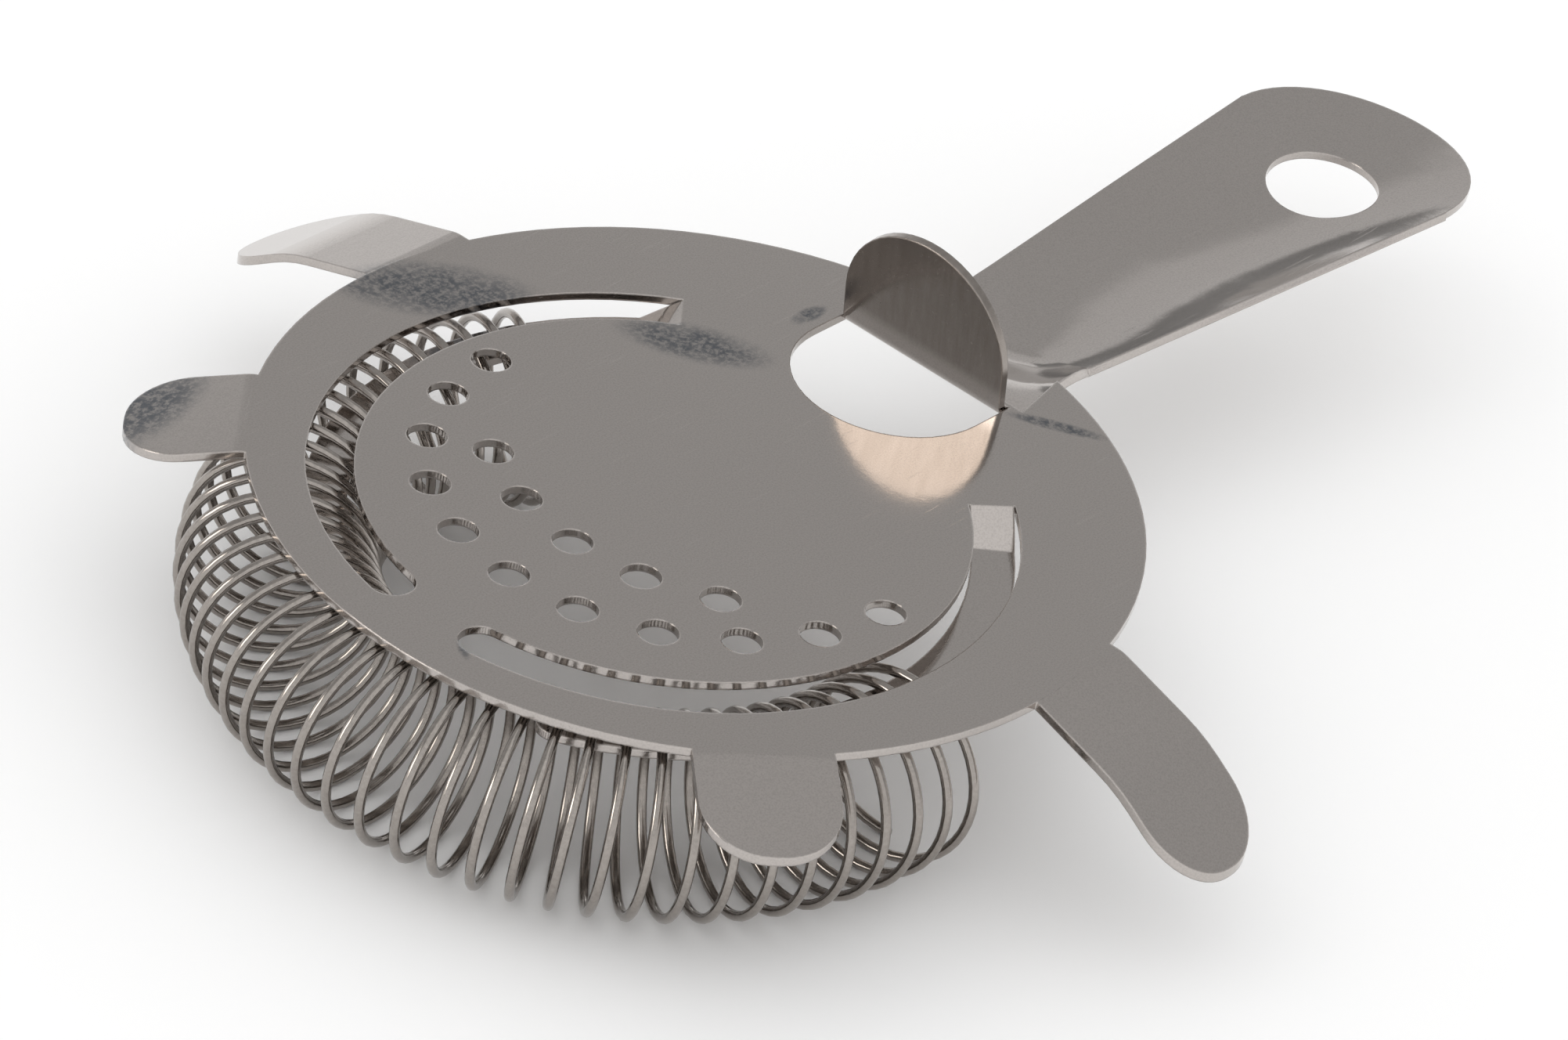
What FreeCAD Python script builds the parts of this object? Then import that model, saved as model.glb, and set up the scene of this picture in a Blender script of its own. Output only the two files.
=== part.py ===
"""Hawthorne strainer: one pressed stainless sheet and one coil spring.

Origin: centre of the round plate on its upper face. +X runs to the handle, +Z is up,
and the plate is symmetric about the XZ plane. Lengths are in millimetres.
"""

import FreeCAD, Part
import math
import os

import Sketcher

Vector = FreeCAD.Vector

SIZES = {
    # sheet and round plate
    "sheet": 0.9,
    "disc_radius": 43.8,
    # drain holes: an arc of holes, and a second arc moved towards the handle
    "drain_radius": 2.0,
    "drain_ring": 25.85,
    "drain_centre": -0.9,
    "drain_step": 17.5,
    "drain_outer_count": 11,
    "drain_inner_count": 5,
    "drain_inner_shift": 8.8,
    # two arc slots and the tongue lanced out of each
    "slot_centre": -4.8,
    "slot_radius": 32.3,
    "slot_width": 4.66,
    "slot_rear_angle": 39.3,
    "slot_front_angle": 169.5,
    "tongue_width": 4.4,
    "ramp_end_angle": 46.0,
    "tongue_tip_angle": 154.0,
    "tongue_root_drop": 2.7,
    "tongue_tip_drop": 5.4,
    # finger tab, bent up out of its D-shaped hole
    "tab_inside_rim": 9.0,
    "tab_radius": 10.3,
    "tab_gap": 0.25,
    "tab_height": 15.7,
    "tab_angle": 82.0,
    "tab_bend": 0.7,
    # ears: two beside the plate, two at the front, all bent down
    "side_ear_offset": 5.4,
    "side_ear_width": 13.0,
    "side_ear_first": 11.2,
    "side_ear_second": 11.9,
    "side_ear_slope": 17.0,
    "side_ear_fall": 33.0,
    "front_ear_angle": 130.0,
    "front_ear_width": 13.4,
    "ear_overlap": 1.4,
    "front_ear_length": 11.7,
    "front_ear_slope": 14.0,
    "ear_tip_round": 6.2,
    "ear_root_bend": 4.0,
    "side_ear_bend": 18.0,
    # handle: a shallow trough that grows out of the plate
    "handle_root_past_rim": 6.2,
    "handle_end": 118.3,
    "handle_end_radius": 13.95,
    "handle_root_half": 8.9,
    "handle_end_half": 15.3,
    "mouth_spread": 3.2,
    "trough_root_radius": 21.3,
    "trough_radius": 29.4,
    "trough_drop": 4.2,
    "trough_end_radius": 60.0,
    "trough_end_drop": 2.2,
    "trough_rise_start": 93.0,
    "hang_radius": 6.1,
    "hang_centre": 100.7,
    "hang_side": -0.5,
    # coil spring
    "wire": 1.0,
    "coil_radius": 9.5,
    "spring_gap": 0.3,
    "spring_outset": 0.9,
    "spring_travel": 4.0,
    "spring_start": 57.0,
    "spring_end": 277.3,
    "spring_turns": 41.5,
}

doc = FreeCAD.newDocument("hawthorne_strainer")


def make_sheet():
    """Write every size into a spreadsheet and give its cell the size's name."""
    sheet = doc.addObject("Spreadsheet::Sheet", "Sizes")
    for row, (name, value) in enumerate(SIZES.items(), start=1):
        sheet.set(f"A{row}", name)
        sheet.set(f"B{row}", str(value))
        sheet.setAlias(f"B{row}", name)
    doc.recompute()
    return sheet


sizes = make_sheet()


def size(name):
    """The value of one cell, as a plain number."""
    return float(sizes.get(name))


def plane_of(body, role):
    """One of the origin planes of a body."""
    for feature in body.Origin.OriginFeatures:
        if feature.Role == role:
            return feature
    raise ValueError(role)


def add_sketch(body, name, role="XY_Plane"):
    """An empty sketch on one of the body's own origin planes."""
    sketch = body.newObject("Sketcher::SketchObject", name)
    sketch.AttachmentSupport = [(plane_of(body, role), "")]
    sketch.MapMode = "FlatFace"
    return sketch


def flat(x, y):
    """A point of a sketch."""
    return Vector(x, y, 0)


def on_circle(radius, angle, x=0.0, y=0.0):
    """A sketch point at an angle in degrees on a circle about x, y."""
    turn = math.radians(angle)
    return flat(x + radius * math.cos(turn), y + radius * math.sin(turn))


def arc(radius, start, end, x=0.0, y=0.0):
    """A counter-clockwise arc about x, y, from one angle in degrees to another."""
    circle = Part.Circle(flat(x, y), Vector(0, 0, 1), radius)
    return Part.ArcOfCircle(circle, math.radians(start), math.radians(end))


def bound_radius(sketch, geometry, name, expression):
    """Give one circle of a sketch a radius that follows the spreadsheet."""
    index = sketch.addConstraint(Sketcher.Constraint("Radius", geometry, sketch.Geometry[geometry].Radius))
    sketch.renameConstraint(index, name)
    sketch.setExpression(f"Constraints.{name}", expression)


def bound_place(sketch, geometry, name, expression):
    """Keep a circle's centre on the X axis, at a distance that follows the spreadsheet."""
    sketch.addConstraint(Sketcher.Constraint("PointOnObject", geometry, 3, -1))
    start = sketch.Geometry[geometry].Center.x
    index = sketch.addConstraint(Sketcher.Constraint("DistanceX", -1, 1, geometry, 3, start))
    sketch.renameConstraint(index, name)
    sketch.setExpression(f"Constraints.{name}", expression)


def pad_down(body, sketch, name):
    """The sheet under a sketch: a pad from its plane down by one thickness."""
    pad = body.newObject("PartDesign::Pad", name)
    pad.Profile = sketch
    pad.Reversed = True
    pad.setExpression("Length", "Sizes.sheet")
    doc.recompute()
    return pad


def pocket_down(body, sketch, name):
    """Cut a sketch right through the sheet below it."""
    before = body.Shape.Volume
    pocket = body.newObject("PartDesign::Pocket", name)
    pocket.Profile = sketch
    pocket.setExpression("Length", "Sizes.sheet * 3")
    doc.recompute()
    if body.Shape.Volume >= before - 1e-6:
        raise RuntimeError(f"{name} cuts nothing")
    return pocket


# ---------------------------------------------------------------- round plate


def arc_outline(sketch, side, width, front):
    """A strip bent round the slots' centre, from the slots' rear end to a round front end."""
    centre = size("slot_centre")
    middle = size("slot_radius")
    rear = size("slot_rear_angle")
    half = width / 2
    first, last = (rear, front) if side > 0 else (-front, -rear)
    cap = on_circle(middle, side * front, centre)
    cap_start = front if side > 0 else 180 - front
    inner = on_circle(middle - half, side * rear, centre)
    outer = on_circle(middle + half, side * rear, centre)
    sketch.addGeometry(arc(middle + half, first, last, centre), False)
    sketch.addGeometry(arc(middle - half, first, last, centre), False)
    sketch.addGeometry(arc(half, cap_start, cap_start + 180, cap.x, cap.y), False)
    sketch.addGeometry(Part.LineSegment(inner, outer), False)


def tab_foot_start():
    """Where the flat plate ends and the tab's bend begins."""
    return size("disc_radius") - size("tab_inside_rim")


def tab_hole_outline(sketch):
    """The D-shaped hole that the finger tab leaves: round towards the front."""
    radius = size("tab_radius") + size("tab_gap")
    hinge = tab_foot_start()
    middle = hinge - size("tab_height") + size("tab_radius")
    sketch.addGeometry(arc(radius, 90, 270, middle), False)
    sketch.addGeometry(Part.LineSegment(flat(middle, -radius), flat(hinge, -radius)), False)
    sketch.addGeometry(Part.LineSegment(flat(hinge, -radius), flat(hinge, radius)), False)
    sketch.addGeometry(Part.LineSegment(flat(hinge, radius), flat(middle, radius)), False)


def drain_row(body, name, shift, count):
    """A row of drain holes on an arc that opens towards the handle."""
    step = size("drain_step")
    span = step * (count - 1)
    sketch = add_sketch(body, f"{name}_hole")
    sketch.setExpression("AttachmentOffset.Base.x", f"Sizes.drain_centre + {shift}")
    start = on_circle(size("drain_ring"), 180 - span / 2)
    sketch.addGeometry(Part.Circle(start, Vector(0, 0, 1), size("drain_radius")), False)
    bound_radius(sketch, 0, "hole", "Sizes.drain_radius")
    doc.recompute()
    pocket = pocket_down(body, sketch, f"{name}_first")
    pattern = body.newObject("PartDesign::PolarPattern", f"{name}_row")
    pattern.Originals = [pocket]
    pattern.Axis = (sketch, ["N_Axis"])
    pattern.Angle = span
    pattern.Occurrences = count
    body.Tip = pattern
    doc.recompute()
    return pattern


def make_disc():
    """The round plate, with its slots, the tab's hole, the drain holes and the handle's mouth."""
    body = doc.addObject("PartDesign::Body", "disc")
    outline = add_sketch(body, "disc_outline")
    outline.addGeometry(Part.Circle(flat(0, 0), Vector(0, 0, 1), size("disc_radius")), False)
    outline.addConstraint(Sketcher.Constraint("Coincident", 0, 3, -1, 1))
    bound_radius(outline, 0, "rim", "Sizes.disc_radius")
    doc.recompute()
    pad_down(body, outline, "disc_sheet")

    openings = add_sketch(body, "openings")
    arc_outline(openings, 1, size("slot_width"), size("slot_front_angle"))
    arc_outline(openings, -1, size("slot_width"), size("slot_front_angle"))
    tab_hole_outline(openings)
    doc.recompute()
    pocket_down(body, openings, "openings_cut")

    drain_row(body, "drain_outer", "0", int(size("drain_outer_count")))
    drain_row(body, "drain_inner", "Sizes.drain_inner_shift", int(size("drain_inner_count")))

    mouth = add_sketch(body, "handle_mouth")
    corners = []
    for station, half in mouth_stations():
        corners.append(flat(station, half - 0.15))
    corners += [flat(point.x, -point.y) for point in reversed(corners)]
    for first, second in zip(corners, corners[1:] + corners[:1]):
        mouth.addGeometry(Part.LineSegment(first, second), False)
    doc.recompute()
    pocket_down(body, mouth, "handle_mouth_cut")
    return body


# ---------------------------------------------------------------------- handle


def trough_edge(half, radius):
    """How far the trough's edge stands above its floor at a half width."""
    return radius - math.sqrt(radius**2 - half**2)


def funnel_start():
    """Where the plate begins to sink into the handle, just behind the finger tab."""
    return tab_foot_start() + 0.1


def handle_root():
    """Where the funnel ends and the trough begins."""
    return size("disc_radius") + size("handle_root_past_rim")


def funnel_half(station):
    """Half width of the funnel between the plate and the handle's root."""
    start = funnel_start()
    root = handle_root()
    share = (station - start) / (root - start)
    start_half = size("handle_root_half") + size("mouth_spread")
    return start_half + (size("handle_root_half") - start_half) * share


def mouth_stations():
    """Where the funnel replaces the plate: stations along X and half widths."""
    start = funnel_start() + 0.3
    past_rim = size("disc_radius") + 3.2
    return [(start, funnel_half(start)), (past_rim, funnel_half(past_rim))]


def trough_section(name, station, half, floor, edge):
    """Closed section across the handle: two arcs one sheet apart, joined at their ends."""
    sheet = size("sheet")
    section = doc.addObject("Sketcher::SketchObject", name)
    section.Placement = FreeCAD.Placement(Vector(station, 0, 0), FreeCAD.Rotation(Vector(1, 1, 1), 120))
    slope = 2 * math.atan((edge - floor) / half)
    drop = flat(sheet * math.sin(slope), -sheet * math.cos(slope))
    right = flat(half, edge)
    left = flat(-half, edge)
    low_right = right + drop
    low_left = flat(-low_right.x, low_right.y)
    section.addGeometry(Part.Arc(left, flat(0, floor), right), False)
    section.addGeometry(Part.LineSegment(right, low_right), False)
    section.addGeometry(Part.Arc(low_right, flat(0, floor - sheet), low_left), False)
    section.addGeometry(Part.LineSegment(low_left, left), False)
    return section


def loft(name, sections, ruled):
    """A solid through sections."""
    skin = doc.addObject("Part::Loft", name)
    skin.Sections = sections
    skin.Solid = True
    skin.Ruled = ruled
    doc.recompute()
    return skin


def trough_shape(station):
    """Half width, floor height and edge height of the trough at a station behind its root."""
    root = handle_root()
    end = size("handle_end")
    rise_start = size("trough_rise_start")
    root_half = size("handle_root_half")
    half = root_half + (size("handle_end_half") - root_half) * (station - root) / (end - root)
    root_radius = size("trough_root_radius")
    radius = size("trough_radius")
    drop = size("trough_drop")
    if station < rise_start:
        share = (station - root) / (rise_start - root)
        return half, -drop, -drop + trough_edge(half, root_radius + (radius - root_radius) * share)
    share = (station - rise_start) / (end - rise_start)
    floor = -drop + (drop - size("trough_end_drop")) * share
    return half, floor, floor + trough_edge(half, radius + (size("trough_end_radius") - radius) * share)


def make_handle():
    """Funnel out of the plate, then the trough, cut to its rounded end."""
    start = funnel_start()
    rim = size("disc_radius") - 0.8
    dip = (start * 2 + rim) / 3
    root = handle_root()
    rise_start = size("trough_rise_start")
    end = size("handle_end")
    funnel_sections = [
        trough_section("mouth_section", start, funnel_half(start), -0.06, -0.03),
        trough_section("dip_section", dip, funnel_half(dip), -0.55, -0.06),
        trough_section("rim_section", rim, funnel_half(rim), -0.68 * size("trough_drop"), -0.35),
        trough_section("root_section", root, *trough_shape(root)),
    ]
    funnel = loft("funnel", funnel_sections, False)

    trough_sections = []
    stations = [root, (root + rise_start) / 2, rise_start, (rise_start + end) / 2, end + 2]
    for index, station in enumerate(stations):
        trough_sections.append(trough_section(f"trough_section_{index}", station, *trough_shape(station)))
    trough = loft("trough", trough_sections, False)

    outline = doc.addObject("Sketcher::SketchObject", "handle_end_outline")
    outline.setExpression("Placement.Base.z", "-Sizes.trough_drop - 10")
    for piece in handle_plan():
        outline.addGeometry(piece, False)
    block = doc.addObject("Part::Extrusion", "handle_end_block")
    block.Base = outline
    block.Dir = Vector(0, 0, 20)
    block.Solid = True

    shaped = doc.addObject("Part::Common", "handle_trough")
    shaped.Base = trough
    shaped.Tool = block
    doc.recompute()
    return funnel, shaped


def handle_plan():
    """Plan of a block that is wider than the handle and has its round end."""
    radius = size("handle_end_radius")
    centre = size("handle_end") - radius
    start = handle_root() - 1
    side = radius + 4
    return [
        arc(radius, -90, 90, centre),
        Part.LineSegment(flat(centre, radius), flat(centre - 4, side)),
        Part.LineSegment(flat(centre - 4, side), flat(start, side)),
        Part.LineSegment(flat(start, side), flat(start, -side)),
        Part.LineSegment(flat(start, -side), flat(centre - 4, -side)),
        Part.LineSegment(flat(centre - 4, -side), flat(centre, -radius)),
    ]


# ------------------------------------------------------------------------ ears


def bent_strip(name, runs, bends, width, placement):
    """A strip of sheet seen from the side: straight runs at given slopes, bent between them.

    runs holds (length, slope in degrees) and bends the radius between each run and the next.
    The strip starts flat at the origin, runs along X and is width wide along Y. Its upper face
    is the line that the runs follow.
    """
    sheet = size("sheet")
    top = [Vector(0, 0, 0)]
    for length, slope in runs:
        turn = math.radians(slope)
        top.append(top[-1] + Vector(length * math.cos(turn), 0, -length * math.sin(turn)))
    slopes = [slope for length, slope in runs]
    low = []
    for index, point in enumerate(top):
        before = math.radians(slopes[max(index - 1, 0)])
        after = math.radians(slopes[min(index, len(slopes) - 1)])
        middle = (before + after) / 2
        reach = sheet / math.cos((after - before) / 2)
        low.append(point + Vector(-reach * math.sin(middle), 0, -reach * math.cos(middle)))
    low_bends = [bend - sheet for bend in reversed(bends)]
    edges = rounded_line(top, bends) + [Part.makeLine(top[-1], low[-1])]
    edges += rounded_line(low[::-1], low_bends) + [Part.makeLine(low[0], top[0])]
    side = doc.addObject("Part::Feature", f"{name}_side")
    side.Shape = Part.Face(Part.Wire(Part.__sortEdges__(edges)))
    strip = doc.addObject("Part::Extrusion", f"{name}_strip")
    strip.Base = side
    strip.Dir = Vector(0, 1, 0)
    strip.setExpression("LengthFwd", f"{width} / 2")
    strip.setExpression("LengthRev", f"{width} / 2")
    strip.Solid = True
    strip.Placement = placement
    doc.recompute()
    return strip


def rounded_line(points, radii):
    """Edges along points, with an arc at each inner corner."""
    edges = []
    last = points[0]
    for before, corner, after, radius in zip(points, points[1:], points[2:], radii):
        first = (before - corner).normalize()
        second = (after - corner).normalize()
        half = first.getAngle(second) / 2
        reach = radius / math.tan(half)
        start = corner + first * reach
        end = corner + second * reach
        inward = (first + second).normalize()
        middle = corner + inward * (radius / math.sin(half) - radius)
        edges.append(Part.makeLine(last, start))
        edges.append(Part.Arc(start, middle, end).toShape())
        last = end
    edges.append(Part.makeLine(last, points[-1]))
    return edges


def ear_plan(name, reach, width, placement):
    """Plan of an ear, as a tall block: straight sides and a tip with round corners."""
    corner = size("ear_tip_round")
    half = width / 2
    outline = doc.addObject("Sketcher::SketchObject", f"{name}_plan")
    pieces = [
        Part.LineSegment(flat(-1, half), flat(-1, -half)),
        Part.LineSegment(flat(-1, -half), flat(reach - corner, -half)),
        arc(corner, -90, 0, reach - corner, -half + corner),
        Part.LineSegment(flat(reach, -half + corner), flat(reach, half - corner)),
        arc(corner, 0, 90, reach - corner, half - corner),
        Part.LineSegment(flat(reach - corner, half), flat(-1, half)),
    ]
    for piece in pieces:
        outline.addGeometry(piece, False)
    outline.Placement = placement.multiply(FreeCAD.Placement(Vector(0, 0, -20), FreeCAD.Rotation()))
    block = doc.addObject("Part::Extrusion", f"{name}_block")
    block.Base = outline
    block.Dir = Vector(0, 0, 40)
    block.Solid = True
    return block


def make_ear(name, runs, bends, width_name, placement):
    """One ear: a bent strip, cut to its plan."""
    past_tip = [(runs[-1][0] + 2, runs[-1][1])]
    strip = bent_strip(name, runs[:-1] + past_tip, bends, f"Sizes.{width_name}", placement)
    reach = sum(length * math.cos(math.radians(slope)) for length, slope in runs)
    block = ear_plan(name, reach, size(width_name) - 0.02, placement)
    ear = doc.addObject("Part::Common", name)
    ear.Base = strip
    ear.Tool = block
    doc.recompute()
    return ear


def make_ears():
    """Four ears, two mirrored pairs."""
    upright = Vector(0, 0, 1)
    rim = size("disc_radius")
    overlap = size("ear_overlap")
    side_root = math.sqrt(rim**2 - size("side_ear_offset") ** 2) - overlap
    side_runs = [
        (overlap + 0.3, 0.0),
        (size("side_ear_first"), size("side_ear_slope")),
        (size("side_ear_second"), size("side_ear_fall")),
    ]
    front_runs = [
        (overlap + 0.2, 0.0),
        (size("front_ear_length"), size("front_ear_slope")),
    ]
    root_bend = size("ear_root_bend")
    side_bends = [root_bend, size("side_ear_bend")]
    ears = []
    for label, side in (("left", 1), ("right", -1)):
        root = Vector(size("side_ear_offset"), side * side_root, 0)
        place = FreeCAD.Placement(root, FreeCAD.Rotation(upright, 90 * side))
        ears.append(make_ear(f"side_ear_{label}", side_runs, side_bends, "side_ear_width", place))
        angle = size("front_ear_angle") * side
        root = on_circle(rim - overlap, angle)
        place = FreeCAD.Placement(root, FreeCAD.Rotation(upright, angle))
        ears.append(make_ear(f"front_ear_{label}", front_runs, [root_bend], "front_ear_width", place))
    return ears


# ------------------------------------------------------------------ finger tab


def make_tab():
    """The half-moon finger tab and the bend that joins it to the plate."""
    sheet = size("sheet")
    inner = size("tab_bend")
    angle = size("tab_angle")
    radius = size("tab_radius")
    centre_x = tab_foot_start()
    turn = math.radians(angle)
    outer = inner + sheet
    bend_length = (inner + sheet / 2) * turn
    straight = size("tab_height") - radius - bend_length

    side = doc.addObject("Part::Feature", "tab_bend_side")
    begin = Vector(centre_x, 0, 0)
    begin_low = Vector(centre_x, 0, -sheet)

    def at(distance, share):
        return Vector(
            centre_x - distance * math.sin(turn * share), 0, inner - distance * math.cos(turn * share)
        )

    direction = Vector(-math.cos(turn), 0, math.sin(turn))
    top = at(inner, 1) + direction * straight
    top_low = at(outer, 1) + direction * straight
    stub = Vector(0.3, 0, 0)
    edges = [
        Part.makeLine(begin + stub, begin),
        Part.Arc(begin, at(inner, 0.5), at(inner, 1)).toShape(),
        Part.makeLine(at(inner, 1), top),
        Part.makeLine(top, top_low),
        Part.makeLine(top_low, at(outer, 1)),
        Part.Arc(at(outer, 1), at(outer, 0.5), begin_low).toShape(),
        Part.makeLine(begin_low, begin_low + stub),
        Part.makeLine(begin_low + stub, begin + stub),
    ]
    side.Shape = Part.Face(Part.Wire(edges))
    foot = doc.addObject("Part::Extrusion", "tab_foot")
    foot.Base = side
    foot.Dir = Vector(0, 1, 0)
    foot.setExpression("LengthFwd", "Sizes.tab_radius")
    foot.setExpression("LengthRev", "Sizes.tab_radius")
    foot.Solid = True

    moon = doc.addObject("Part::Cylinder", "tab_moon")
    moon.setExpression("Radius", "Sizes.tab_radius")
    moon.setExpression("Height", "Sizes.sheet")
    moon.Angle = 180
    normal = Vector(-math.sin(turn), 0, -math.cos(turn))
    moon.Placement = FreeCAD.Placement(top, FreeCAD.Rotation(Vector(0, -1, 0), direction, normal, "ZXY"))
    doc.recompute()
    return [foot, moon]


# --------------------------------------------------------------------- tongues


def tongue_section(angle, drop, side):
    """Upright rectangle across a tongue, wider than it, at an angle about the slots' centre."""
    middle = size("slot_radius")
    half = size("tongue_width") / 2 + 1
    inner = on_circle(middle - half, side * angle, size("slot_centre"))
    outer = on_circle(middle + half, side * angle, size("slot_centre"))
    high = Vector(0, 0, -drop)
    low = Vector(0, 0, -drop - size("sheet"))
    corners = [inner + high, outer + high, outer + low, inner + low]
    return Part.makePolygon(corners + corners[:1])


def make_tongue(label, side):
    """A strip that ramps down from its slot's rear end and runs forward under the slot."""
    rear = size("slot_rear_angle")
    ramp = size("ramp_end_angle")
    tip = size("tongue_tip_angle")
    root_drop = size("tongue_root_drop")
    tip_drop = size("tongue_tip_drop")
    past_tip = tip + 8
    run_slope = (tip_drop - root_drop) / (tip - ramp)
    sections = [tongue_section(rear, 0.0, side), tongue_section((rear + ramp) / 2, root_drop / 2, side)]
    steps = 10
    for step in range(steps + 1):
        angle = ramp + (past_tip - ramp) * step / steps
        sections.append(tongue_section(angle, root_drop + run_slope * (angle - ramp), side))
    band = doc.addObject("Part::Feature", f"tongue_band_{label}")
    band.Shape = Part.makeLoft(sections, True, True)
    band.Placement = FreeCAD.Placement()

    plan = doc.addObject("Sketcher::SketchObject", f"tongue_plan_{label}")
    plan.setExpression("Placement.Base.z", "-Sizes.tongue_tip_drop - 10")
    arc_outline(plan, side, size("tongue_width"), tip)
    block = doc.addObject("Part::Extrusion", f"tongue_block_{label}")
    block.Base = plan
    block.Dir = Vector(0, 0, 30)
    block.Solid = True
    tongue = doc.addObject("Part::Common", f"tongue_{label}")
    tongue.Base = band
    tongue.Tool = block
    doc.recompute()
    return tongue


# ----------------------------------------------------------------- whole plate


def hanging_hole_place():
    """The hanging hole runs square to the sheet, which rises towards the handle's end."""
    run = size("handle_end") - size("trough_rise_start")
    slope = (size("trough_drop") - size("trough_end_drop")) / run
    past_start = size("hang_centre") - size("trough_rise_start")
    middle = slope * past_start - size("trough_drop") - size("sheet") / 2
    tilt = math.atan(slope)
    axis = Vector(-math.sin(tilt), 0, math.cos(tilt))
    centre = Vector(size("hang_centre"), size("hang_side"), middle)
    turn = FreeCAD.Rotation(Vector(0, 1, 0), -math.degrees(tilt))
    return FreeCAD.Placement(centre - axis * 10, turn)


def make_plate():
    """Everything that is pressed from the one sheet, as a single solid."""
    disc = make_disc()
    funnel, trough = make_handle()
    pieces = [disc, funnel, trough] + make_ears() + make_tab()
    pieces += [make_tongue("left", 1), make_tongue("right", -1)]
    joined = doc.addObject("Part::MultiFuse", "joined_sheet")
    joined.Shapes = pieces
    joined.Refine = False
    doc.recompute()

    hole = doc.addObject("Part::Cylinder", "hanging_hole")
    hole.setExpression("Radius", "Sizes.hang_radius")
    hole.Height = 20
    hole.Placement = hanging_hole_place()
    plate = doc.addObject("Part::Cut", "strainer_plate")
    plate.Base = joined
    plate.Tool = hole
    plate.Label = "strainer_plate"
    doc.recompute()
    return plate


# ---------------------------------------------------------------------- spring


def spring_centre():
    """Centre of the spring's ring at rest: pressed in by its travel, it is about the slots' centre."""
    return size("slot_centre") - size("spring_travel")


def spring_point(turn):
    """Centre of the wire after a number of turns: a coil wound round a ring."""
    span = math.radians(size("spring_end") - size("spring_start"))
    ring_angle = math.radians(size("spring_start")) + span * turn / size("spring_turns")
    coil_angle = 2 * math.pi * turn
    coil = size("coil_radius")
    radius = size("slot_radius") + size("spring_outset") - coil * math.sin(coil_angle)
    height = spring_height() + coil * math.cos(coil_angle)
    return Vector(spring_centre() + radius * math.cos(ring_angle), radius * math.sin(ring_angle), height)


def spring_height():
    """Height of the coil's middle: its top clears the sheet by the spring gap."""
    return -size("sheet") - size("spring_gap") - size("wire") / 2 - size("coil_radius")


def spring_direction(turn):
    """Direction of the wire after a number of turns."""
    step = 1e-5
    return (spring_point(turn + step) - spring_point(turn - step)).normalize()


def tangent_arc(start, direction, end):
    """Circular arc from a point and a direction to an end point."""
    chord = end - start
    half = direction.getAngle(chord)
    across = direction - chord * (direction.dot(chord) / chord.Length**2)
    middle = start + chord * 0.5 + across.normalize() * (chord.Length / 2 * math.tan(half / 2))
    return Part.Arc(start, middle, end).toShape()


def two_arcs(start, first, end, second):
    """Two arcs that meet smoothly and keep the direction at each end."""
    chord = end - start
    both = first + second
    spread = 2 * (1 - first.dot(second))
    along = chord.dot(both)
    reach = (-along + math.sqrt(along**2 + spread * chord.dot(chord))) / spread
    middle = (start + end + (first - second) * reach) * 0.5
    last = tangent_arc(end, second * -1, middle)
    return [tangent_arc(start, first, middle), last]


def make_spring():
    """Round wire swept along the coil, as one solid."""
    edges = []
    for half_turn in range(int(2 * size("spring_turns"))):
        begin = half_turn / 2
        finish = begin + 0.5
        edges += two_arcs(
            spring_point(begin), spring_direction(begin), spring_point(finish), spring_direction(finish)
        )
    path = doc.addObject("Part::Feature", "spring_path")
    path.Shape = Part.Wire(Part.__sortEdges__(edges))
    section = doc.addObject("Part::Circle", "spring_section")
    section.setExpression("Radius", "Sizes.wire / 2")
    section.Placement = FreeCAD.Placement(
        spring_point(0), FreeCAD.Rotation(Vector(0, 0, 1), spring_direction(0))
    )
    spring = doc.addObject("Part::Sweep", "coil_spring")
    spring.Spine = (path, [])
    spring.Sections = [section]
    spring.Solid = True
    spring.Frenet = False
    spring.Label = "coil_spring"
    doc.recompute()
    expected = path.Shape.Length * math.pi * size("wire") ** 2 / 4
    if abs(spring.Shape.Volume / expected - 1) > 0.01:
        raise RuntimeError(f"spring volume {spring.Shape.Volume:.1f}, expected {expected:.1f}")
    return spring


# ---------------------------------------------------------------------- output


def write_parts(nodes):
    """Check the document and every piece, then write each piece to its own file."""
    for item in doc.Objects:
        if "Invalid" in item.State or "Error" in item.State:
            raise RuntimeError(f"{item.Name} failed: {item.State}")
    for node in nodes:
        shape = node.Shape
        if shape.isNull() or not shape.isValid() or len(shape.Solids) != 1:
            raise RuntimeError(f"{node.Label} is not one valid solid")
    os.makedirs("parts", exist_ok=True)
    for node in nodes:
        node.Shape.exportStep(f"parts/{node.Label}.step")
        box = node.Shape.BoundBox
        print(f"{node.Label}: {len(node.Shape.Faces)} faces, {node.Shape.Volume:.1f} mm3, "
              f"X {box.XMin:.2f} {box.XMax:.2f}, Y {box.YMin:.2f} {box.YMax:.2f}, "
              f"Z {box.ZMin:.2f} {box.ZMax:.2f}")


strainer_plate = make_plate()
coil_spring = make_spring()
write_parts([strainer_plate, coil_spring])
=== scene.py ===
"""Looks of the hawthorne strainer: polished sheet steel, drawn spring wire and a soft studio.

Lengths are in metres, in the CAD frame: the origin is the plate's centre on its upper face,
+X runs to the handle and +Z is up.
"""

import math

import bpy
import numpy as np
from mathutils import Matrix, Vector


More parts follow.
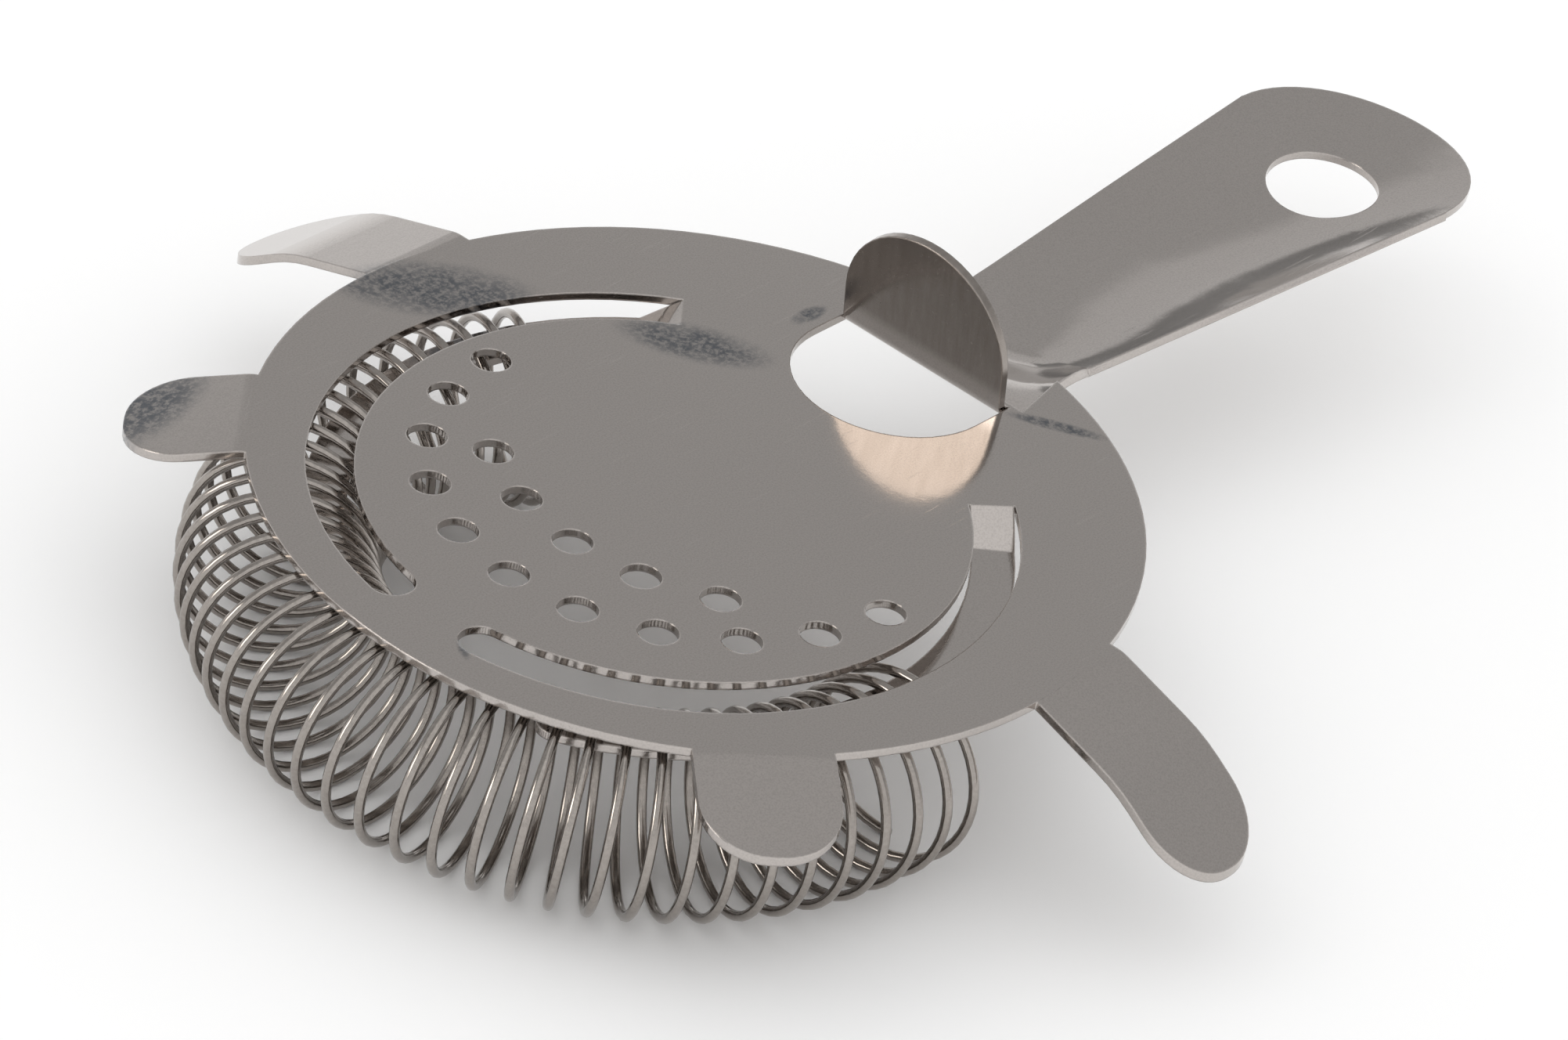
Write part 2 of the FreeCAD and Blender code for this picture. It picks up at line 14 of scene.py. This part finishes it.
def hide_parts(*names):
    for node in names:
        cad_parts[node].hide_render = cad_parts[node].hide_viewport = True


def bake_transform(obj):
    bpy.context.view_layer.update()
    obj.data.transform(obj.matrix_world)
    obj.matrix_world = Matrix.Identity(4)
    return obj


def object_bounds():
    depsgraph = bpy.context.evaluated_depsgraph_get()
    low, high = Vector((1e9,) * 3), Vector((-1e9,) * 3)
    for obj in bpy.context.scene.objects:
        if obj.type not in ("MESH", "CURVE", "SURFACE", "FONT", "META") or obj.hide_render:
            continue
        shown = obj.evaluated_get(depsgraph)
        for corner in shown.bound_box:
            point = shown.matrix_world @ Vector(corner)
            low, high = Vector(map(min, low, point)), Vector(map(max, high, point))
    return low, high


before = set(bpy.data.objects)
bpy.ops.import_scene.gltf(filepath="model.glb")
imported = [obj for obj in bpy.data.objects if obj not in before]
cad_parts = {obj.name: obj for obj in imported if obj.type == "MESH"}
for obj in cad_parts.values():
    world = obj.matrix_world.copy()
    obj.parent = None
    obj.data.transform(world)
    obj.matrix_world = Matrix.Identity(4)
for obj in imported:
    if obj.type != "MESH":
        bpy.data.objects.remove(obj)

cad_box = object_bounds()

# ------------------------------------------------------------------ shader maths


class Sock:
    """A node socket. Operators on it add Math nodes to its material."""

    def __init__(self, shader, socket):
        self.shader = shader
        self.socket = socket

    def _math(self, operation, *values, clamp=False):
        return self.shader.node("ShaderNodeMath", {"operation": operation, "use_clamp": clamp}, *values)

    def __add__(self, other):
        return self._math("ADD", self, other)

    def __radd__(self, other):
        return self._math("ADD", other, self)

    def __sub__(self, other):
        return self._math("SUBTRACT", self, other)

    def __rsub__(self, other):
        return self._math("SUBTRACT", other, self)

    def __mul__(self, other):
        return self._math("MULTIPLY", self, other)

    def __rmul__(self, other):
        return self._math("MULTIPLY", other, self)

    def __truediv__(self, other):
        return self._math("DIVIDE", self, other)

    def __rtruediv__(self, other):
        return self._math("DIVIDE", other, self)

    def __pow__(self, other):
        return self._math("POWER", self, other)

    def call(self, operation, *values):
        """Any other one of the Math node's operations, with this socket first."""
        return self._math(operation, self, *values)

    def step(self, low, high):
        """Smooth rise from 0 at low to 1 at high."""
        settings = {"interpolation_type": "SMOOTHSTEP"}
        return self.shader.node("ShaderNodeMapRange", settings, self, low, high, 0.0, 1.0)

    def window(self, low, high, soft):
        """1 between low and high, falling smoothly to 0 over the width soft on each side."""
        return self.step(low - soft, low) * (1 - self.step(high, high + soft))


class Shader:
    """A material or world node tree that is filled through one method."""

    def __init__(self, tree):
        self.tree = tree
        tree.nodes.clear()

    def node(self, kind, settings=None, *inputs, output=0, **named):
        """Adds a node, sets its settings, then its sockets by place or by name."""
        made = self.tree.nodes.new(kind)
        for name, value in (settings or {}).items():
            setattr(made, name, value)
        pairs = list(zip(made.inputs, inputs))
        pairs += [(made.inputs[name.replace("_", " ")], value) for name, value in named.items()]
        for socket, value in pairs:
            if isinstance(value, Sock):
                self.tree.links.new(value.socket, socket)
            elif value is not None:
                socket.default_value = value
        # an output node has no sockets to give back
        return Sock(self, made.outputs[output]) if len(made.outputs) else made

    def place(self):
        """The point's place on the object, in metres."""
        return self.node("ShaderNodeTexCoord", output=3)

    def parts(self, vector):
        """The X, Y and Z of a vector."""
        first = self.node("ShaderNodeSeparateXYZ", None, vector)
        outputs = first.socket.node.outputs
        return [Sock(self, outputs[i]) for i in range(3)]

    def stretched(self, vector, x, y, z):
        """A vector with its parts multiplied, to draw a pattern out along one way."""
        return self.node("ShaderNodeVectorMath", {"operation": "MULTIPLY"}, vector, (x, y, z))

    def noise(self, vector, per_metre, detail=2.0, rough=0.5):
        """Noise with a number of features per metre."""
        return self.node(
            "ShaderNodeTexNoise", None,
            Vector=vector, Scale=per_metre, Detail=detail, Roughness=rough,
        )

    def mix_colour(self, factor, first, second):
        """From one colour to another."""
        mix = self.tree.nodes.new("ShaderNodeMix")
        mix.data_type = "RGBA"
        for socket, value in ((mix.inputs[0], factor), (mix.inputs[6], first), (mix.inputs[7], second)):
            if isinstance(value, Sock):
                self.tree.links.new(value.socket, socket)
            else:
                socket.default_value = value if not isinstance(value, tuple) else (*value, 1.0)
        return Sock(self, mix.outputs[2])


def new_material(name):
    """An empty node material and its shader."""
    material = bpy.data.materials.new(name)
    material.use_nodes = True
    return material, Shader(material.node_tree)


def surface(shader, socket):
    """Sends a closure to the material's output."""
    shader.node("ShaderNodeOutputMaterial", None, socket)


def metal(shader, colour, rough, normal, edge):
    """Bare metal with rounded cut edges of a radius edge."""
    rounded = shader.node("ShaderNodeBevel", {"samples": 6}, edge, normal)
    body = shader.node(
        "ShaderNodeBsdfPrincipled", None,
        Base_Color=colour, Metallic=1.0, Roughness=rough, Normal=rounded,
    )
    surface(shader, body)


# ------------------------------------------------------------------- materials

STEEL = (0.515, 0.478, 0.452)
STEEL_CLOUD = (0.475, 0.437, 0.410)
STEEL_GRAIN = (0.31, 0.29, 0.275)
PAINTED_DARK_REFLECTION = (0.125, 0.137, 0.155)
BRUSHED_TAB_WITH_PAINTED_SHADE = (0.235, 0.205, 0.18)
WIRE = (0.44, 0.405, 0.375)
WIRE_CLOUD = (0.33, 0.30, 0.275)
WIRE_GRAIN = (0.18, 0.163, 0.15)
WHITE = (1.0, 1.0, 1.0)
FLOOR_BOUNCE = (0.84, 0.84, 0.835)
WINDOW_TINT = (1.0, 0.955, 0.90)
# painted dark reflections: centre x and y, half length, half width (m) and turn (degrees)
PAINTED_REFLECTION_PATCHES = [
    (0.0025, 0.0378, 0.0125, 0.0058, -47.0),
    (-0.0010, 0.0415, 0.0062, 0.0036, -35.0),
    (0.0170, 0.0160, 0.0092, 0.0038, -60.0),
    (-0.0325, 0.0430, 0.0105, 0.0058, 14.0),
    (0.0305, 0.0125, 0.0030, 0.0012, 0.0),
    (0.0362, -0.0155, 0.0060, 0.0011, -62.0),
    (-0.0388, -0.0056, 0.0020, 0.0007, 55.0),
]
EDGE_RADIUS = 0.00028
# only the finger tab stands above the plate: heights between which its darker tone sets in, part
# brushed finish and part painted shade
TAB_TONE_FROM = 0.0012
TAB_TONE_TO = 0.0030
# the dark stand behind the handle and the window on the card: degrees round and up
STAND_ROUND = (38.5, 46.0)
STAND_UP = (3.0, 11.5)
WINDOW_ROUND = (138.0, 162.0)
WINDOW_UP = (10.0, 28.0)
WINDOW_STRENGTH = 4.3


def polished_sheet():
    """Polished sheet: orange peel, hairline scratches, smoky bluish patches of painted dark reflection
    and a brushed tab darkened in part with painted shade.
    """
    material, sh = new_material("polished_sheet_steel")
    place = sh.place()
    x, y, z = sh.parts(place)
    cloud = sh.noise(place, 22.0, 3.0, 0.55)
    grain = sh.noise(place, 5200.0, 1.0, 0.5)
    peel = sh.noise(place, 750.0, 2.0, 0.6)
    hairline = sh.noise(sh.stretched(place, 1.0, 26.0, 26.0), 90.0, 2.0, 0.6)
    scratch = hairline.step(0.66, 0.70)

    # smoky bluish patches of painted dark reflection, soft-edged and mottled
    painted_reflections = None
    for centre_x, centre_y, long, wide, turn in PAINTED_REFLECTION_PATCHES:
        cosine, sine = math.cos(math.radians(turn)), math.sin(math.radians(turn))
        along = ((x - centre_x) * cosine + (y - centre_y) * sine) / long
        across = ((y - centre_y) * cosine - (x - centre_x) * sine) / wide
        reflection_patch = 1 - (along * along + across * across).step(0.05, 1.0)
        painted_reflections = reflection_patch if painted_reflections is None else painted_reflections.call("MAXIMUM", reflection_patch)
    mottle = sh.noise(place, 1500.0, 3.0, 0.7)
    smoke = sh.noise(place, 260.0, 2.0, 0.6)
    painted_reflections = painted_reflections * (smoke * 1.9).call("MINIMUM", 1.0) * (0.35 + mottle.step(0.36, 0.60) * 0.65)
    tab = z.step(TAB_TONE_FROM, TAB_TONE_TO)
    tone = sh.mix_colour((cloud - 0.3) * 0.6, STEEL, STEEL_CLOUD)
    tone = sh.mix_colour((grain - 0.5) * 0.9 + 0.10, tone, STEEL_GRAIN)
    brushed = sh.noise(sh.stretched(place, 1.0, 1.0, 0.05), 1300.0, 3.0, 0.65)
    # the tab's brushed streaks are its own grain; its much darker colour is painted shade for the
    # shaded floor that the tab reflects
    tone = sh.mix_colour(tab * (0.35 + brushed * 0.55), tone, BRUSHED_TAB_WITH_PAINTED_SHADE)
    # painted dark reflection laid into the steel's colour
    tone = sh.mix_colour(painted_reflections * 0.92, tone, PAINTED_DARK_REFLECTION)
    rough = 0.085 + cloud * 0.04 + scratch * 0.10 + tab * 0.09
    height = peel * 0.55 + grain * 0.10 - scratch * 0.25
    bump = sh.node("ShaderNodeBump", None, Strength=0.16, Distance=0.00006, Height=height)
    metal(sh, tone, rough, bump, EDGE_RADIUS)
    return material


def drawn_wire():
    """Spring wire: darker drawn steel with a faint grain."""
    material, sh = new_material("drawn_spring_wire")
    place = sh.place()
    cloud = sh.noise(place, 60.0, 2.0, 0.5)
    grain = sh.noise(place, 2600.0, 2.0, 0.6)
    tone = sh.mix_colour(cloud, WIRE, WIRE_CLOUD)
    tone = sh.mix_colour((grain - 0.5) * 0.8 + 0.2, tone, WIRE_GRAIN)
    bump = sh.node("ShaderNodeBump", None, Strength=0.15, Distance=0.00004, Height=grain)
    body = sh.node(
        "ShaderNodeBsdfPrincipled", None,
        Base_Color=tone, Metallic=1.0, Roughness=0.13 + cloud * 0.06, Normal=bump,
    )
    surface(sh, body)
    return material


def pale_floor():
    """Matte white floor that gives back a little less light to what stands on it."""
    material, sh = new_material("pale_floor")
    camera_ray = sh.node("ShaderNodeLightPath", output=0)
    glossy_ray = sh.node("ShaderNodeLightPath", output=3)
    seen = camera_ray.call("MAXIMUM", glossy_ray)
    pale = sh.node("ShaderNodeBsdfDiffuse", None, Color=(*FLOOR_BOUNCE, 1.0))
    white = sh.node("ShaderNodeBsdfDiffuse", None, Color=(*WHITE, 1.0))
    surface(sh, sh.node("ShaderNodeMixShader", None, seen, pale, white))
    return material


def studio_card():
    """Studio wall that reflections show: pale low down, grey above, a dark stand and a warm window."""
    material, sh = new_material("studio_card")
    x, y, z = sh.parts(sh.place())
    flat = (x * x + y * y) ** 0.5
    azimuth = y.call("ARCTAN2", x) * (180 / math.pi)
    height = z.call("ARCTAN2", flat) * (180 / math.pi)
    grey = 0.88 - height.step(6.0, 14.0) * 0.245 - height.step(26.0, 32.0) * 0.145
    grey = grey + height.step(40.0, 62.0) * 0.06
    stand = azimuth.window(*STAND_ROUND, 1.0) * height.window(*STAND_UP, 1.6)
    grey = grey * (1 - stand * 0.68)
    window = azimuth.window(*WINDOW_ROUND, 3.0) * height.window(*WINDOW_UP, 3.0)
    colour = sh.mix_colour(window, WHITE, WINDOW_TINT)
    glow = sh.node("ShaderNodeEmission", None, Color=colour, Strength=grey + window * WINDOW_STRENGTH)
    surface(sh, glow)
    return material


# ---------------------------------------------------------------------- pieces


def add_mesh(name, points, faces, material, smooth=True):
    """An object at the origin from an array of points and a list of faces."""
    mesh = bpy.data.meshes.new(name)
    mesh.from_pydata(points.tolist(), [], faces)
    mesh.polygons.foreach_set("use_smooth", np.full(len(faces), smooth))
    mesh.materials.append(material)
    mesh.update()
    made = bpy.data.objects.new(name, mesh)
    bpy.context.scene.collection.objects.link(made)
    return made


def grid_quads(rows, columns, closed):
    """Quads between neighbours of a grid of rows by columns, wrapped round its columns if closed."""
    row = np.arange(rows - 1)[:, None]
    column = np.arange(columns if closed else columns - 1)[None, :]
    after = (column + 1) % columns
    first = row * columns + column
    second = row * columns + after
    third = (row + 1) * columns + after
    fourth = (row + 1) * columns + column
    return np.stack([first, fourth, third, second], axis=-1).reshape(-1, 4).tolist()


COIL_RADIUS = 0.0095
WIRE_RADIUS = 0.0005
RING_RADIUS = 0.0332
RING_CENTRE = -0.0088
COIL_HEIGHT = -0.0112
RING_START = math.radians(57.0)
RING_END = math.radians(277.3)
TURNS = 41.5
STEPS_A_TURN = 44
WIRE_SIDES = 12
# rings of each domed end, from its tip: share of the wire's radius, and distance past the end (m)
DOME_WIDTH = np.array([0.02, 0.55, 0.9])
DOME_REACH = np.array([0.000198, 0.000162, 0.000081])


def coil_line(turn):
    """Centre of the wire after some turns: a circle of the coil's radius, carried round a ring.

    The distance from the ring's centre is the ring's radius less the coil's radius times the sine
    of the turn, and the height is the coil's radius times its cosine.
    """
    ring = RING_START + (RING_END - RING_START) * turn / TURNS
    coil = 2 * np.pi * turn
    radius = RING_RADIUS - COIL_RADIUS * np.sin(coil)
    height = COIL_HEIGHT + COIL_RADIUS * np.cos(coil)
    return np.stack([RING_CENTRE + radius * np.cos(ring), radius * np.sin(ring), height], axis=-1)


def make_spring(material):
    """Round wire round the coil's line, with ends that close in a shallow dome."""
    steps = int(TURNS * STEPS_A_TURN) + 1
    turn = np.linspace(0, TURNS, steps)
    line = coil_line(turn)
    along = coil_line(turn + 1e-4) - coil_line(turn - 1e-4)
    along /= np.linalg.norm(along, axis=1)[:, None]
    ring = RING_START + (RING_END - RING_START) * turn / TURNS
    hub_x = RING_CENTRE + RING_RADIUS * np.cos(ring)
    hub = np.stack([hub_x, RING_RADIUS * np.sin(ring), np.full(steps, COIL_HEIGHT)], axis=-1)
    out = line - hub
    out -= along * np.sum(out * along, axis=1)[:, None]
    out /= np.linalg.norm(out, axis=1)[:, None]
    across = np.cross(along, out)

    first_dome = line[:1] - along[:1] * DOME_REACH[:, None]
    last_dome = line[-1:] + along[-1:] * DOME_REACH[::-1, None]
    line = np.concatenate([first_dome, line, last_dome])
    rings = len(DOME_WIDTH)
    out = np.concatenate([np.repeat(out[:1], rings, 0), out, np.repeat(out[-1:], rings, 0)])
    across = np.concatenate([np.repeat(across[:1], rings, 0), across, np.repeat(across[-1:], rings, 0)])
    radii = np.concatenate([DOME_WIDTH, np.ones(steps), DOME_WIDTH[::-1]]) * WIRE_RADIUS
    angle = np.linspace(0, 2 * np.pi, WIRE_SIDES, endpoint=False)[None, :, None]
    circle = out[:, None] * np.cos(angle) + across[:, None] * np.sin(angle)
    points = (line[:, None] + circle * radii[:, None, None]).reshape(-1, 3)
    faces = grid_quads(len(line), WIRE_SIDES, True)
    last = len(points)
    faces.append(list(range(WIRE_SIDES)))
    faces.append(list(range(last - 1, last - WIRE_SIDES - 1, -1)))
    return add_mesh("spring_wire", points, faces, material)


CARD_DISTANCE = 1.6
CARD_ROUND = (-75, 178)
CARD_UP = (1.5, 78)
CARD_COLUMNS = 70
CARD_ROWS = 26


def make_card(material):
    """Part of a sphere round the strainer: longitude along one way of the grid, latitude the other."""
    longitude = np.radians(np.linspace(*CARD_ROUND, CARD_COLUMNS))
    latitude = np.radians(np.linspace(*CARD_UP, CARD_ROWS))
    a, h = np.meshgrid(longitude, latitude)
    points = np.stack([np.cos(a) * np.cos(h), np.sin(a) * np.cos(h), np.sin(h)], axis=-1)
    points = points.reshape(-1, 3) * CARD_DISTANCE
    card = add_mesh("studio_card", points, grid_quads(CARD_ROWS, CARD_COLUMNS, False), material)
    card.visible_camera = False
    card.visible_diffuse = False
    card.visible_shadow = False
    return card


FLOOR_REACH = 4.0


def make_floor(material):
    """Flat square floor at the spring's lowest point."""
    level = cad_box[0].z
    corners = np.array([[-1, -1, 0], [1, -1, 0], [1, 1, 0], [-1, 1, 0]]) * FLOOR_REACH + [0, 0, level]
    return add_mesh("floor", corners, [[0, 1, 2, 3]], material, smooth=False)


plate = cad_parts["strainer_plate"]
plate.data.materials.clear()
plate.data.materials.append(polished_sheet())

spring = make_spring(drawn_wire())
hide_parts("coil_spring")
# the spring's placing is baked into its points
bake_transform(spring)

make_floor(pale_floor())
make_card(studio_card())

# ---------------------------------------------------------------- light, camera


def light_world():
    """Even white light from every side."""
    world = bpy.data.worlds.new("studio_world")
    bpy.context.scene.world = world
    world.use_nodes = True
    sh = Shader(world.node_tree)
    sky = sh.node("ShaderNodeBackground", None, Color=(*WHITE, 1.0), Strength=1.0)
    sh.node("ShaderNodeOutputWorld", None, sky)


def soft_lamp(name, place, size, watts, colour):
    """A square area lamp aimed at the plate."""
    lamp = bpy.data.lights.new(name, "AREA")
    lamp.shape = "SQUARE"
    lamp.size = size
    lamp.energy = watts
    lamp.color = colour
    made = bpy.data.objects.new(name, lamp)
    bpy.context.scene.collection.objects.link(made)
    made.location = place
    made.rotation_mode = "QUATERNION"
    made.rotation_quaternion = Vector(place).to_track_quat("Z", "Y")
    made.visible_glossy = False
    return made


def place_camera():
    """Camera with its right, down and forward directions and its place."""
    right = (0.65393301, -0.74070964, 0.15401574)
    down = (-0.34344464, -0.47203351, -0.81192989)
    forward = (0.67410489, 0.47805187, -0.56307104)
    centre = (-0.425212, -0.312391, 0.356347)
    data = bpy.data.cameras.new("camera")
    data.sensor_width = 36.0
    data.lens = 151.87
    data.clip_start = 0.01
    data.clip_end = 20.0
    camera = bpy.data.objects.new("camera", data)
    bpy.context.scene.collection.objects.link(camera)
    turn = Matrix([[right[i], -down[i], -forward[i]] for i in range(3)])
    camera.rotation_mode = "QUATERNION"
    camera.rotation_quaternion = turn.to_quaternion()
    camera.location = centre
    bpy.context.scene.camera = camera


light_world()
soft_lamp("soft_key", (-0.5, 0.5, 0.9), 0.6, 0.5, (1.0, 0.98, 0.95))
place_camera()
bpy.context.scene.view_settings.view_transform = "Standard"
